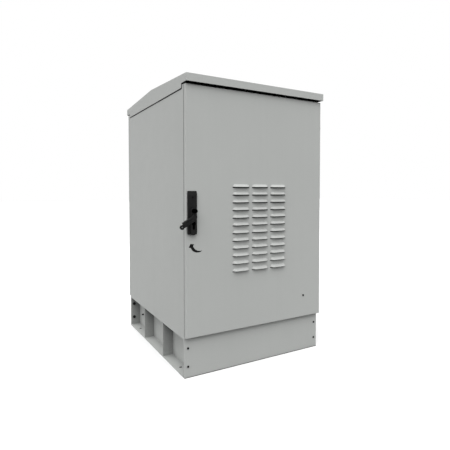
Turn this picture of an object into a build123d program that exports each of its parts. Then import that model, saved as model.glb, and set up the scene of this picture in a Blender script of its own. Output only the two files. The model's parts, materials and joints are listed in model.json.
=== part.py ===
from build123d import *

import os
from math import atan, cos, degrees, radians, sin

# Roadside utility cabinet: a folded sheet body on a plinth, with a louvred door and a rain hood.
# The origin is the centre of the plinth on the ground, X to the right, Y to the back, Z up, millimetres.

# Overall sizes
body_width = 700.0
frame_depth = 756.0
plinth_height = 160.0
body_height = 1020.0
panel_sheet = 1.5
bend_radius = 2.5
flange_width = 13.0
overrun = 5.0

# Plinth
plinth_sheet = 3.0
plate_sheet = 3.0
plate_return = 22.0
plate_return_gap = 1.0
plinth_recess = 50.0
stiffener_spacing_share = 0.352
stiffener_setback = 1.0
anchor_inset = 26.0
anchor_end_inset = 98.0
anchor_radius = 7.0
plate_screw_inset = 17.0
plate_screw_low = 44.5
plate_screw_spacing = 75.0
earth_end_inset = 75.0
earth_z = 71.0
earth_stud_radius = 4.0
earth_stud_reach = 9.0
earth_nut_width = 13.0
earth_nut_height = 6.5

# Cap screws and flange nuts
screw_radius = 2.5
screw_head_radius = 4.25
screw_head_height = 2.8
screw_socket_width = 3.0
screw_socket_depth = 1.6
screw_end = 2.0
nut_width = 10.0
nut_height = 5.0
nut_flange_radius = 8.0
nut_flange_height = 1.5
hole_clearance = 0.4

# Hexagon bolts and nuts
bolt_radius = 5.0
bolt_head_width = 16.0
bolt_head_height = 6.5
bolt_nut_height = 8.0
bolt_end = 3.0

# Floor, gland plate and grommets
floor_sheet = 2.0
sill_height = 22.0
floor_return = 25.0
gland_width = 440.0
gland_depth = 190.0
gland_rear_inset = 148.0
gland_border = 20.0
gland_sheet = 2.0
gland_screw_inset = 9.0
grommet_radius = 26.0
grommet_lip = 4.0
grommet_wall = 3.0
grommet_lip_height = 3.0
grommet_cone_height = 14.0
grommet_tip_radius = 8.0
grommet_pitch_x = 120.0
grommet_pitch_y = 72.0
grommet_columns = 3
grommet_rows = 2

# Top plate and its vent slots
header_height = 20.0
top_return = 40.0
top_slot_length = 60.0
top_slot_width = 9.0
top_slot_pitch = 18.0
top_slot_rows = 7
top_slot_offset = 120.0

# Hood
hood_side_overhang = 2.5
hood_front_overhang = 15.0
hood_sheet = 1.5
hood_ridge_height = 58.0
hood_eave_height = 36.0
hood_skirt_drop = 31.0
hood_side_drop = 18.0
notch_length = 51.0
side_gap = 4.0
bracket_side_inset = 170.0
bracket_sheet = 2.0
bracket_flange = 26.0
bracket_setback = 30.0
roof_bolt_end_inset = 118.0
screen_sheet = 1.5
screen_setback = 4.0
screen_end_gap = 12.0
screen_slots = 12
screen_slot_length = 44.0
screen_slot_height = 16.0
screen_slot_rise = 10.0

# Door and rear panel
door_depth = 19.0
door_gap = 3.0
door_foot_gap = 6.5
door_top_gap = 2.0
gasket_width = 9.0
gasket_inset = 0.6
gasket_gap = 0.3
rear_depth = 22.0
rear_screw_low = 300.0
rear_screw_pitch = 370.0
rear_screw_count = 3
rear_screw_inset = 7.5

# Louvers
louver_length = 86.0
louver_height = 15.8
louver_reach = 13.5
louver_mouth = 4.8
louver_column_pitch = 97.0
louver_columns = 3
louver_row_pitch = 32.44
louver_rows = 12
louver_first_z = 413.0
louver_centre_x = 2.0

# Door stiffeners, filter and earth screw
stiffener_x = 248.0
stiffener_width = 30.0
stiffener_rim = 12.0
stiffener_sheet = 1.5
stiffener_depth = 14.0
stiffener_end_gap = 22.0
filter_width = 330.0
filter_height = 430.0
filter_depth = 15.0
filter_lip = 14.0
filter_sheet = 1.2
filter_gap = 0.5
filter_rim = 14.0
filter_stud_radius = 2.5
filter_nut_width = 8.0
filter_nut_height = 4.0
door_screw_z = 267.0

# Rack rails and beams
rack_opening = 450.0
rack_unit = 44.45
rack_units = 20
rack_hole_width = 9.5
rack_hole_inset = 7.55
rack_hole_step = 15.875
rack_hole_start = 6.35
rail_face = 36.0
rail_side = 40.0
rail_sheet = 2.0
rail_setback = 78.0
rail_end_gap = 3.0
beam_width = 30.0
beam_height = 30.0
beam_sheet = 2.0
beam_end_gap = 33.0
rail_screw_y_inset = 20.0

# Hinges
hinge_end_inset = 133.5
hinge_count = 3
hinge_half_height = 35.0
hinge_radius = 6.0
hinge_stand_off = 0.5
hinge_pin_radius = 3.0
hinge_pin_fit = 0.02
hinge_running_fit = 0.08
hinge_leaf_sheet = 2.5
hinge_frame_leaf = 30.0
hinge_door_leaf_margin = 2.0
hinge_washer_height = 1.0
hinge_running_gap = 0.2
hinge_pin_end = 2.0

# Handle housing
handle_inset = 26.0
handle_width = 39.5
handle_low = 585.0
handle_high = 757.5
handle_thickness = 9.0
handle_corner = 3.0
handle_bevel = 2.5
handle_slope_length = 16.0
handle_slope_rest = 2.0
boss_width = 23.0
boss_low = 583.0
boss_reach = 19.0
boss_bevel = 1.5
button_z = 678.5
button_radius = 8.4
button_reach = 20.0
button_seat = 11.0
button_travel = 4.0
button_fit = 0.2
button_bevel = 1.0
lever_z = 654.5
lever_hub_radius = 10.0
lever_thickness = 12.0
lever_bar_length = 56.0
lever_bar_width = 14.0
lever_arm_length = 64.4
lever_arm_width = 15.0
lever_arm_offset = 7.8
lever_arm_thickness = 8.0
lever_gap = 0.4
lever_bevel = 1.8
lever_eye_radius = 2.6
lever_eye_rim = 9.0
lever_groove_length = 26.0
lever_groove_width = 4.0
lever_groove_depth = 2.0
lever_rest_turn = 60.0
lever_full_turn = 90.0
handle_screw_drop = 26.0
handle_screw_depth = 3.0

# Lock cylinder
cylinder_z = 628.4
cylinder_radius = 8.5
cylinder_height = 33.0
cylinder_stem_width = 10.0
cylinder_recess = 0.4
cylinder_length = 40.0
cylinder_fit = 0.15
plug_radius = 6.5
plug_fit = 0.1
plug_recess = 0.4
plug_length = 32.0
key_width = 2.6
key_height = 8.5
key_depth = 7.0

# Spindle, crank and locking bar
spindle_radius = 7.0
spindle_square = 9.0
spindle_fit = 0.1
spindle_skin_gap = 1.0
lever_socket_depth = 9.0
bush_radius = 12.0
bush_length = 7.0
crank_sheet = 4.0
crank_hub_radius = 9.0
crank_radius = 14.0
crank_pin_radius = 3.0
crank_arm_width = 13.0
crank_depth = 4.0
crank_gap = 0.5
bar_width = 20.0
bar_thickness = 4.0
bar_offset = 12.0
bar_low = 235.0
bar_high = 1105.0
bar_slot_clearance = 0.9
bar_slot_end_clearance = 0.8
tongue_reach = 13.5
tongue_height = 10.0
keeper_low = 300.0
keeper_middle = 760.0
keeper_high = 1050.0
keeper_overlap = 6.5
keeper_height = 16.0
keeper_bite = 9.5
keeper_gap = 0.5
guide_low = 340.0
guide_middle = 540.0
guide_high = 960.0
guide_height = 24.0
guide_wall = 5.5
guide_fit = 0.4
guide_base = 3.0
guide_rear_wall = 3.6

# Places worked out from the sizes
half_width = body_width / 2
half_depth = frame_depth / 2
body_top = plinth_height + body_height
inner_x = half_width - panel_sheet
inner_y = half_depth - panel_sheet
flange_x = half_width - flange_width
tray_half = half_depth - plate_sheet
web_x = half_width - plinth_recess
anchor_x = half_width - anchor_inset
anchor_spacing = frame_depth - 2 * anchor_end_inset
stiffener_spacing = frame_depth * stiffener_spacing_share
earth_y = half_depth - earth_end_inset
plate_screw_x = half_width - plate_screw_inset
screw_hole = screw_radius + hole_clearance
bolt_hole = bolt_radius + hole_clearance
floor_top = plinth_height + floor_sheet
gland_y = half_depth - gland_rear_inset
ceiling = body_top - panel_sheet
hood_x = half_width + hood_side_overhang
ridge_z = body_top + hood_ridge_height
eave_z = body_top + hood_eave_height
skirt_z = eave_z - hood_skirt_drop
side_skirt_z = skirt_z - hood_side_drop
side_top = side_skirt_z - side_gap
bracket_x = half_width - bracket_side_inset
door_back = -half_depth - door_gap
door_face = door_back - door_depth
door_inside = door_face + panel_sheet
hood_y = -door_face + hood_front_overhang
notch_y = hood_y - notch_length
hood_slope = (ridge_z - eave_z) / hood_y
hood_rise = hood_sheet / cos(atan(hood_slope))
door_low = plinth_height + door_foot_gap
door_high = body_top - door_top_gap
rail_x = rack_opening / 2 + rail_face
rail_front = -half_depth + rail_setback
beam_end = half_depth - beam_end_gap
hinge_x = half_width + hinge_stand_off + hinge_radius
hinge_y = -half_depth - door_gap / 2
handle_x = -half_width + handle_inset
handle_screw_z = handle_high - handle_screw_drop
boss_face = door_face - boss_reach
lever_back = boss_face - lever_gap
crank_front = -inner_y + crank_depth - crank_gap
crank_rear = crank_front + crank_sheet
bar_front = crank_rear + crank_gap
bar_rear = bar_front + bar_thickness
bar_x = handle_x + bar_offset
bar_ratio = 2 * crank_radius * sin(radians(lever_full_turn / 2)) / radians(lever_full_turn)
rest_drop = bar_ratio * radians(lever_rest_turn)
slot_z = lever_z + crank_radius * sin(radians(lever_full_turn / 2)) - rest_drop
at_base = (Align.CENTER, Align.CENTER, Align.MIN)


def block(xs, ys, zs):
    """A rectangular block between three pairs of limits."""
    limits = (xs, ys, zs)
    size = [abs(high - low) for low, high in limits]
    middle = [(low + high) / 2 for low, high in limits]
    return Pos(*middle) * Box(*size)


def rod(radius, start, end):
    """A round bar from one point to another."""
    run = Vector(*end) - Vector(*start)
    return Plane(start, z_dir=run) * Cylinder(radius, run.length, align=at_base)


def hexagon(width, start, end):
    """A six-sided bar from one point to another, its width across the flats."""
    run = Vector(*end) - Vector(*start)
    face = RegularPolygon(width / 2, 6, major_radius=False)
    return Plane(start, z_dir=run) * extrude(face, run.length)


def along_x(points, xs):
    """A Y-Z outline drawn out along X."""
    face = Plane.YZ.offset(xs[0]) * make_face(Polyline(*points, close=True))
    return extrude(face, xs[1] - xs[0], dir=(1, 0, 0))


def along_y(points, ys):
    """An X-Z outline drawn out along Y."""
    face = Plane.XZ.offset(-ys[0]) * make_face(Polyline(*points, close=True))
    return extrude(face, ys[1] - ys[0], dir=(0, 1, 0))


def along_z(points, zs):
    """An X-Y outline drawn out along Z."""
    face = Plane.XY.offset(zs[0]) * make_face(Polyline(*points, close=True))
    return extrude(face, zs[1] - zs[0], dir=(0, 0, 1))


def spread(count, pitch):
    """Places of a row of copies about zero."""
    return [(index - (count - 1) / 2) * pitch for index in range(count)]


def mirrored(part):
    """The same piece on the other side of the cabinet."""
    return mirror(part, about=Plane.YZ)


def cap_screw(point, direction, grip):
    """A socket cap screw whose head seats at a point and whose shank runs the other way."""
    screw = Cylinder(screw_head_radius, screw_head_height, align=at_base)
    screw += Pos(0, 0, -grip) * Cylinder(screw_radius, grip, align=at_base)
    socket = extrude(RegularPolygon(screw_socket_width / 2, 6, major_radius=False), screw_head_height)
    screw -= Pos(0, 0, screw_head_height - screw_socket_depth) * socket
    return Plane(point, z_dir=direction) * screw


def flange_nut(point, direction):
    """A flange nut that seats at a point and stands up along a direction."""
    nut = Cylinder(nut_flange_radius, nut_flange_height, align=at_base)
    nut += extrude(RegularPolygon(nut_width / 2, 6, major_radius=False), nut_height)
    nut -= Cylinder(screw_radius, nut_height, align=at_base)
    return Plane(point, z_dir=direction) * nut


def hex_bolt(point, direction, grip):
    """A hexagon bolt whose head seats at a point and whose shank runs the other way."""
    bolt = extrude(RegularPolygon(bolt_head_width / 2, 6, major_radius=False), bolt_head_height)
    bolt += Pos(0, 0, -grip) * Cylinder(bolt_radius, grip, align=at_base)
    return Plane(point, z_dir=direction) * bolt


def hex_nut(point, direction):
    """A plain hexagon nut that seats at a point and stands up along a direction."""
    nut = extrude(RegularPolygon(bolt_head_width / 2, 6, major_radius=False), bolt_nut_height)
    nut -= Cylinder(bolt_radius, bolt_nut_height, align=at_base)
    return Plane(point, z_dir=direction) * nut


# Plinth pieces

def plate_screw_heights():
    """Heights of the screws that hold the plinth's end plates."""
    return [plate_screw_low, plate_screw_low + plate_screw_spacing]


def anchor_places():
    """Places of the four floor anchors, which the body bolts share."""
    return [(x, y) for x in (-anchor_x, anchor_x) for y in spread(2, anchor_spacing)]


def plinth_side():
    """The left plinth channel, folded with a web and two flanges and open outwards."""
    outer = block((-half_width, -web_x + plinth_sheet), (-tray_half, tray_half), (0, plinth_height))
    top = plinth_height - plinth_sheet
    reach = tray_half + overrun
    channel = outer - block((-half_width - overrun, -web_x), (-reach, reach), (plinth_sheet, top))
    cuts = []
    for y in spread(2, anchor_spacing):
        cuts.append(rod(anchor_radius, (-anchor_x, y, -overrun), (-anchor_x, y, plinth_sheet + overrun)))
        cuts.append(rod(bolt_hole, (-anchor_x, y, top - overrun), (-anchor_x, y, plinth_height + overrun)))
    return channel - cuts


def plinth_side_left():
    """The left channel with the hole of its earth stud."""
    end = -web_x + plinth_sheet + overrun
    radius = earth_stud_radius + hole_clearance
    return plinth_side() - rod(radius, (-web_x - overrun, earth_y, earth_z), (end, earth_y, earth_z))


def plinth_end_plates():
    """End plates welded into the channels, with the holes of the plate screws."""
    wall = tray_half - plinth_sheet
    end = block((-half_width, -web_x), (-tray_half, -wall), (plinth_sheet, plinth_height - plinth_sheet))
    for z in plate_screw_heights():
        end -= rod(screw_hole, (-plate_screw_x, -half_depth, z), (-plate_screw_x, -wall + overrun, z))
    ends = [end, mirror(end, about=Plane.XZ)]
    return ends + [mirrored(end) for end in ends]


def plinth_stiffeners():
    """Upright plates welded into the two channels."""
    plates = []
    for y in spread(2, stiffener_spacing):
        ys = (y - plinth_sheet / 2, y + plinth_sheet / 2)
        xs = (-half_width + stiffener_setback, -web_x)
        plate = block(xs, ys, (plinth_sheet, plinth_height - plinth_sheet))
        plates += [plate, mirrored(plate)]
    return plates


def plinth_plate():
    """The front plate, with returns folded back between the channels."""
    plate = block((-half_width, half_width), (-half_depth, -tray_half), (0, plinth_height))
    reach = web_x - plinth_sheet - plate_return_gap
    back = -half_depth + plate_return
    plate += block((-reach, reach), (-tray_half, back), (0, plate_sheet))
    plate += block((-reach, reach), (-tray_half, back), (plinth_height - plate_sheet, plinth_height))
    cuts = []
    for x in (-plate_screw_x, plate_screw_x):
        for z in plate_screw_heights():
            cuts.append(rod(screw_hole, (x, -half_depth - overrun, z), (x, -tray_half + overrun, z)))
    return plate - cuts


def plinth_screws():
    """Cap screws through both end plates."""
    grip = plate_sheet + plinth_sheet + nut_height + screw_end
    screws = []
    for x in (-plate_screw_x, plate_screw_x):
        for z in plate_screw_heights():
            screws.append(cap_screw((x, -half_depth, z), (0, -1, 0), grip))
            screws.append(cap_screw((x, half_depth, z), (0, 1, 0), grip))
    return screws


def plinth_nuts():
    """Flange nuts of the plinth screws, inside the channels."""
    seat = tray_half - plinth_sheet
    nuts = []
    for x in (-plate_screw_x, plate_screw_x):
        for z in plate_screw_heights():
            nuts.append(flange_nut((x, -seat, z), (0, 1, 0)))
            nuts.append(flange_nut((x, seat, z), (0, -1, 0)))
    return nuts


def earth_stud():
    """Earth stud through the left web, with its nut behind."""
    inside = -web_x + plinth_sheet
    seat = inside + earth_nut_height
    start = (-web_x - earth_stud_reach, earth_y, earth_z)
    stud = rod(earth_stud_radius, start, (seat + screw_end, earth_y, earth_z))
    nut = hexagon(earth_nut_width, (inside, earth_y, earth_z), (seat, earth_y, earth_z))
    return [stud, nut - stud]


# Body pieces

def inner_plate(low, thickness):
    """A plate that fills the body's section, its corners rounded to the side panels' folds."""
    face = RectangleRounded(2 * inner_x, 2 * inner_y, bend_radius - panel_sheet)
    return Pos(0, 0, low) * extrude(face, thickness)


def floor_pan():
    """The floor with its folded sill, rear and side returns and the cable opening."""
    pan = inner_plate(plinth_height, floor_sheet)
    zs = (plinth_height, plinth_height + sill_height)
    sill = block((-flange_x, flange_x), (-half_depth, -inner_y), zs)
    reach = half_depth - bend_radius
    zs = (floor_top, plinth_height + floor_return)
    side = block((-inner_x, -inner_x + floor_sheet), (-reach, reach), zs)
    pan += [sill, mirror(sill, about=Plane.XZ), side, mirrored(side)]
    half_open = gland_width / 2 - gland_border
    half_run = gland_depth / 2 - gland_border
    opening = block((-half_open, half_open), (gland_y - half_run, gland_y + half_run),
                    (plinth_height - overrun, floor_top + overrun))
    cuts = [opening]
    for x, y in anchor_places():
        cuts.append(rod(bolt_hole, (x, y, plinth_height - overrun), (x, y, floor_top + overrun)))
    for x, y in gland_screw_places():
        cuts.append(rod(screw_hole, (x, y, plinth_height - overrun), (x, y, floor_top + overrun)))
    return pan - cuts


def gland_screw_places():
    """Places of the screws at the gland plate's corners."""
    x = gland_width / 2 - gland_screw_inset
    y = gland_depth / 2 - gland_screw_inset
    return [(side * x, gland_y + end * y) for side in (-1, 1) for end in (-1, 1)]


def grommet_places():
    """Places of the cable grommets in the gland plate."""
    return [(x, gland_y + y) for x in spread(grommet_columns, grommet_pitch_x)
            for y in spread(grommet_rows, grommet_pitch_y)]


def gland_plate():
    """The plate over the cable opening, with a hole for each grommet."""
    ys = (gland_y - gland_depth / 2, gland_y + gland_depth / 2)
    plate = block((-gland_width / 2, gland_width / 2), ys, (floor_top, floor_top + gland_sheet))
    low = floor_top - overrun
    high = floor_top + gland_sheet + overrun
    cuts = [rod(grommet_radius, (x, y, low), (x, y, high)) for x, y in grommet_places()]
    cuts += [rod(screw_hole, (x, y, low), (x, y, high)) for x, y in gland_screw_places()]
    return plate - cuts


def gland_screws():
    """Screws that hold the gland plate down."""
    grip = gland_sheet + floor_sheet + screw_end
    return [cap_screw((x, y, floor_top + gland_sheet), (0, 0, 1), grip) for x, y in gland_screw_places()]


def cable_grommets():
    """Blind rubber grommets, turned: two lips on the plate and a cone that is cut open for a cable."""
    lip = grommet_radius + grommet_lip
    above = gland_sheet + grommet_lip_height
    tip = above + grommet_cone_height
    core = grommet_radius - grommet_wall
    points = [(0, tip - grommet_wall), (grommet_tip_radius, tip - grommet_wall), (core, gland_sheet),
              (core, -grommet_lip_height), (lip, -grommet_lip_height), (lip, 0), (grommet_radius, 0),
              (grommet_radius, gland_sheet), (lip, gland_sheet), (lip, above), (grommet_radius, above),
              (grommet_tip_radius + grommet_wall, tip), (0, tip)]
    section = Plane.XZ * make_face(Polyline(*points, close=True))
    grommet = revolve(section, Axis.Z)
    return [Pos(x, y, floor_top) * grommet for x, y in grommet_places()]


def body_bolts():
    """Bolts that hold the body on the plinth."""
    grip = floor_sheet + plinth_sheet + bolt_nut_height + bolt_end
    return [hex_bolt((x, y, floor_top), (0, 0, 1), grip) for x, y in anchor_places()]


def body_nuts():
    """Nuts of the body bolts, under the channels' upper flanges."""
    return [hex_nut((x, y, plinth_height - plinth_sheet), (0, 0, -1)) for x, y in anchor_places()]


def side_panel():
    """The left side panel: one sheet with folded front and rear flanges and low shoulders under the hood."""
    outer = RectangleRounded(body_width, frame_depth, bend_radius)
    inner = RectangleRounded(2 * inner_x, 2 * inner_y, bend_radius - panel_sheet)
    edge = Pos(-half_width + flange_width / 2, 0) * Rectangle(flange_width, frame_depth)
    panel = Pos(0, 0, plinth_height) * extrude((outer - inner) & edge, body_height)
    reach = notch_y + side_gap
    xs = (-half_width - overrun, -flange_x + overrun)
    return panel - block(xs, (-reach, reach), (side_top, body_top + overrun))


def top_plate():
    """The ceiling with its folded header, rear and side returns and two fields of vent slots."""
    plate = inner_plate(ceiling, panel_sheet)
    header = block((-flange_x, flange_x), (-half_depth, -inner_y), (body_top - header_height, body_top))
    side = block((-inner_x, -inner_x + panel_sheet), (-notch_y, notch_y), (body_top - top_return, ceiling))
    plate += [header, mirror(header, about=Plane.XZ), side, mirrored(side)]
    slot = extrude(SlotOverall(top_slot_length, top_slot_width, rotation=90), panel_sheet + 2 * overrun)
    cuts = []
    for y in (-top_slot_offset, top_slot_offset):
        for x in spread(top_slot_rows, top_slot_pitch):
            cuts.append(Pos(x, y, ceiling - overrun) * slot)
    for x, y in roof_bolt_places():
        cuts.append(rod(bolt_hole, (x, y, ceiling - overrun), (x, y, body_top + overrun)))
    return plate - cuts


def hood_under(y):
    """Height of the hood's lower face over a place in depth."""
    return ridge_z - hood_rise - hood_slope * abs(y)


def roof_hood():
    """The gabled hood, folded with a skirt all round that is notched at its corners."""
    outline = [(-hood_y, skirt_z), (-notch_y, skirt_z), (-notch_y, side_skirt_z), (notch_y, side_skirt_z),
               (notch_y, skirt_z), (hood_y, skirt_z), (hood_y, eave_z), (0, ridge_z), (-hood_y, eave_z)]
    hood = along_x(outline, (-hood_x, hood_x))
    wall = hood_y - hood_sheet
    floor = side_skirt_z - overrun
    hollow = [(-wall, floor), (wall, floor), (wall, hood_under(wall)), (0, hood_under(0)),
              (-wall, hood_under(wall))]
    inner = hood_x - hood_sheet
    return hood - along_x(hollow, (-inner, inner))


def roof_bolt_places():
    """Places of the bolts through the hood brackets."""
    x = bracket_x + bracket_sheet + bracket_flange / 2
    y = half_depth - roof_bolt_end_inset
    return [(side * x, end * y) for side in (-1, 1) for end in (-1, 1)]


def roof_brackets():
    """Two folded brackets under the hood, cut to its slopes."""
    reach = half_depth - bracket_setback
    points = [(-reach, body_top), (reach, body_top), (reach, hood_under(reach)), (0, hood_under(0)),
              (-reach, hood_under(reach))]
    side = bracket_x + bracket_sheet
    bracket = along_x(points, (bracket_x, side))
    bracket += block((side, side + bracket_flange), (-reach, reach), (body_top, body_top + bracket_sheet))
    bracket -= [rod(bolt_hole, (x, y, body_top - overrun), (x, y, body_top + overrun))
                for x, y in roof_bolt_places()]
    return [bracket, mirrored(bracket)]


def roof_bolts():
    """Bolts from inside the cabinet into the hood brackets."""
    grip = panel_sheet + bracket_sheet + bolt_nut_height + bolt_end
    return [hex_bolt((x, y, ceiling), (0, 0, -1), grip) for x, y in roof_bolt_places()]


def roof_nuts():
    """Nuts of the roof bolts, on the brackets' feet."""
    return [hex_nut((x, y, body_top + bracket_sheet), (0, 0, 1)) for x, y in roof_bolt_places()]


def roof_seals():
    """Rubber strips that close the joint between the side panels and the hood's side skirts."""
    reach = notch_y - side_gap
    strip = block((-hood_x + hood_sheet, -inner_x), (-reach, reach), (side_top, side_skirt_z + side_gap))
    return [strip, mirrored(strip)]


def vent_screens():
    """Insect screens across the front and rear gaps under the hood."""
    front = -half_depth + screen_setback
    back = front + screen_sheet
    reach = inner_x - screen_end_gap
    points = [(front, body_top), (back, body_top), (back, hood_under(back)), (front, hood_under(front))]
    screen = along_x(points, (-reach, reach))
    low = body_top + screen_slot_rise
    cuts = []
    for x in spread(screen_slots, 2 * reach / screen_slots):
        xs = (x - screen_slot_length / 2, x + screen_slot_length / 2)
        cuts.append(block(xs, (front - overrun, back + overrun), (low, low + screen_slot_height)))
    screen -= cuts
    return [screen, mirror(screen, about=Plane.XZ)]


def pan(face, back):
    """A folded pan that faces the front, with returns and an inner lip all round."""
    outer = block((-half_width, half_width), (face, back), (door_low, door_high))
    outer = fillet(outer.faces().sort_by(Axis.Y)[0].edges(), bend_radius)
    low = door_low + panel_sheet
    high = door_high - panel_sheet
    hollow = block((-inner_x, inner_x), (face + panel_sheet, back - panel_sheet), (low, high))
    hollow = fillet(hollow.faces().sort_by(Axis.Y)[0].edges(), bend_radius - panel_sheet)
    window = block((-flange_x, flange_x), (back - panel_sheet - overrun, back + overrun),
                   (door_low + flange_width, door_high - flange_width))
    return outer - hollow - window


def rear_screw_heights():
    """Heights of the rear panel's screws."""
    return [rear_screw_low + index * rear_screw_pitch for index in range(rear_screw_count)]


def rear_panel():
    """The fixed rear panel, a plain pan that seats on the rear flanges."""
    panel = mirror(pan(-half_depth - rear_depth, -half_depth), about=Plane.XZ)
    cuts = []
    for x in (-half_width + rear_screw_inset, half_width - rear_screw_inset):
        for z in rear_screw_heights():
            cuts.append(rod(screw_hole, (x, inner_y, z), (x, half_depth + overrun, z)))
    return panel - cuts


def rear_panel_screws():
    """Screws from inside through the rear flanges into the rear panel's lip."""
    grip = 2 * panel_sheet + nut_height + screw_end
    screws = []
    for x in (-half_width + rear_screw_inset, half_width - rear_screw_inset):
        for z in rear_screw_heights():
            screws.append(cap_screw((x, inner_y, z), (0, -1, 0), grip))
    return screws


def side_panel_drilled():
    """The left side panel with the holes of the rear panel's screws."""
    panel = side_panel()
    x = -half_width + rear_screw_inset
    ends = (inner_y - overrun, half_depth + overrun)
    return panel - [rod(screw_hole, (x, ends[0], z), (x, ends[1], z)) for z in rear_screw_heights()]


# Equipment rails

def rack_rail():
    """The left equipment rail, an angle with the square holes of a nineteen-inch rack."""
    low = floor_top + rail_end_gap
    high = ceiling - rail_end_gap
    inside = -rack_opening / 2
    web = -rail_x + rail_sheet
    back = rail_front + rail_side
    points = [(inside, rail_front), (-rail_x, rail_front), (-rail_x, back), (web, back),
              (web, rail_front + rail_sheet), (inside, rail_front + rail_sheet)]
    rail = along_z(points, (low, high))
    first = (low + high - rack_units * rack_unit) / 2 + rack_hole_start
    x = inside - rack_hole_inset
    xs = (x - rack_hole_width / 2, x + rack_hole_width / 2)
    cuts = []
    for unit in range(rack_units):
        for step in range(3):
            z = first + unit * rack_unit + step * rack_hole_step
            zs = (z - rack_hole_width / 2, z + rack_hole_width / 2)
            cuts.append(block(xs, (rail_front - overrun, rail_front + rail_sheet + overrun), zs))
    ends = (-rail_x - overrun, web + overrun)
    cuts += [rod(screw_hole, (ends[0], y, z), (ends[1], y, z)) for y, z in rail_screw_places()]
    return rail - cuts


def rail_screw_places():
    """Places of the screws at the rail's two ends."""
    y = rail_front + rail_screw_y_inset
    heights = (floor_top + beam_height / 2, ceiling - beam_height / 2)
    return [(y, z) for z in heights]


def rail_screws():
    """Screws that hold the rails on their beams."""
    grip = rail_sheet + beam_sheet + screw_end
    web = -rail_x + rail_sheet
    screws = [cap_screw((web, y, z), (1, 0, 0), grip) for y, z in rail_screw_places()]
    return screws + [mirrored(screw) for screw in screws]


def rail_beams():
    """Folded channels along the floor and the ceiling that carry the rails."""
    back = -rail_x - beam_width
    web = -rail_x - beam_sheet
    ends = (web - overrun, -rail_x + overrun)
    holes = [rod(screw_hole, (ends[0], y, z), (ends[1], y, z)) for y, z in rail_screw_places()]
    beams = []
    for low in (floor_top, ceiling - beam_height):
        high = low + beam_height
        points = [(-rail_x, low), (back, low), (back, low + beam_sheet), (web, low + beam_sheet),
                  (web, high - beam_sheet), (back, high - beam_sheet), (back, high), (-rail_x, high)]
        beam = along_y(points, (-beam_end, beam_end)) - holes
        beams += [beam, mirrored(beam)]
    return beams


# Hinges

def hinge_heights():
    """Heights of the hinges' parting planes, spread between the door's ends."""
    low = door_low + hinge_end_inset
    pitch = (door_high - hinge_end_inset - low) / (hinge_count - 1)
    return [low + index * pitch for index in range(hinge_count)]


def hinge_knuckle(low, high, bore):
    """A hinge tube with its bore."""
    tube = rod(hinge_radius, (hinge_x, hinge_y, low), (hinge_x, hinge_y, high))
    return tube - rod(bore, (hinge_x, hinge_y, low), (hinge_x, hinge_y, high))


def hinge_leaf(ys, zs, bore):
    """One hinge leaf on the cabinet's right side, with its knuckle."""
    leaf = block((half_width, half_width + hinge_leaf_sheet), ys, zs)
    core = rod(bore, (hinge_x, hinge_y, zs[0]), (hinge_x, hinge_y, zs[1]))
    return leaf - core + hinge_knuckle(zs[0], zs[1], bore)


def hinge_frame_leaves():
    """Lower leaves, welded to the right side panel."""
    ys = (hinge_y, -half_depth + hinge_frame_leaf)
    bore = hinge_pin_radius + hinge_pin_fit
    return [hinge_leaf(ys, (z - hinge_half_height, z), bore) for z in hinge_heights()]


def hinge_door_leaves():
    """Upper leaves, welded to the door's right return."""
    ys = (door_face + bend_radius + hinge_door_leaf_margin, hinge_y)
    bore = hinge_pin_radius + hinge_running_fit
    lift = hinge_washer_height + hinge_running_gap
    return [hinge_leaf(ys, (z + lift, z + hinge_half_height), bore) for z in hinge_heights()]


def hinge_pins():
    """Pins that stand in the lower leaves."""
    low = hinge_half_height
    high = hinge_half_height - hinge_pin_end
    return [rod(hinge_pin_radius, (hinge_x, hinge_y, z - low), (hinge_x, hinge_y, z + high))
            for z in hinge_heights()]


def hinge_washers():
    """Thrust washers between the two leaves of each hinge."""
    bore = hinge_pin_radius + hinge_pin_fit
    return [hinge_knuckle(z, z + hinge_washer_height, bore) for z in hinge_heights()]


# Door pieces

def louver_places():
    """Middle of each louver's lower edge."""
    rows = [louver_first_z + index * louver_row_pitch for index in range(louver_rows)]
    return [(louver_centre_x + x, z) for x in spread(louver_columns, louver_column_pitch) for z in rows]


def louver_form(margin):
    """A louver's raised form: a slot drawn outwards with a steep draft."""
    height = louver_height - margin
    reach = louver_reach - margin
    draft = degrees(atan((louver_height - louver_mouth) / louver_reach))
    face = Plane.XZ * SlotOverall(louver_length - 2 * margin, 2 * height)
    return extrude(face, reach, taper=draft)


def louver_shell():
    """One pressed louver, the part of its form above the mouth."""
    shell = louver_form(0) - louver_form(panel_sheet)
    ys = (-2 * louver_reach, louver_reach)
    return shell & block((-louver_length, louver_length), ys, (louver_mouth, 2 * louver_height))


def louver_opening():
    """The cut through the door behind one louver."""
    height = louver_height - panel_sheet
    face = Plane.XZ.offset(-panel_sheet - overrun) * SlotOverall(louver_length - 2 * panel_sheet, 2 * height)
    cut = extrude(face, panel_sheet + 2 * overrun)
    ys = (-2 * overrun, panel_sheet + 2 * overrun)
    return cut & block((-louver_length, louver_length), ys, (0, 2 * louver_height))


def door_panel():
    """The door: a folded pan with pressed louvers and the openings of the lock."""
    door = pan(door_face, door_back)
    opening = louver_opening()
    shell = louver_shell()
    places = louver_places()
    door -= [Pos(x, door_face, z) * opening for x, z in places]
    door += [Pos(x, door_face, z) * shell for x, z in places]
    front = door_face - overrun
    back = door_inside + overrun
    skin_hole = spindle_radius + spindle_skin_gap
    cuts = [lock_profile(0, front, back)]
    for radius, x, z in ((skin_hole, handle_x, lever_z), (screw_hole, stiffener_x, door_screw_z),
                         (screw_hole, handle_x, handle_screw_z)):
        cuts.append(rod(radius, (x, front, z), (x, back, z)))
    return door - cuts


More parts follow.
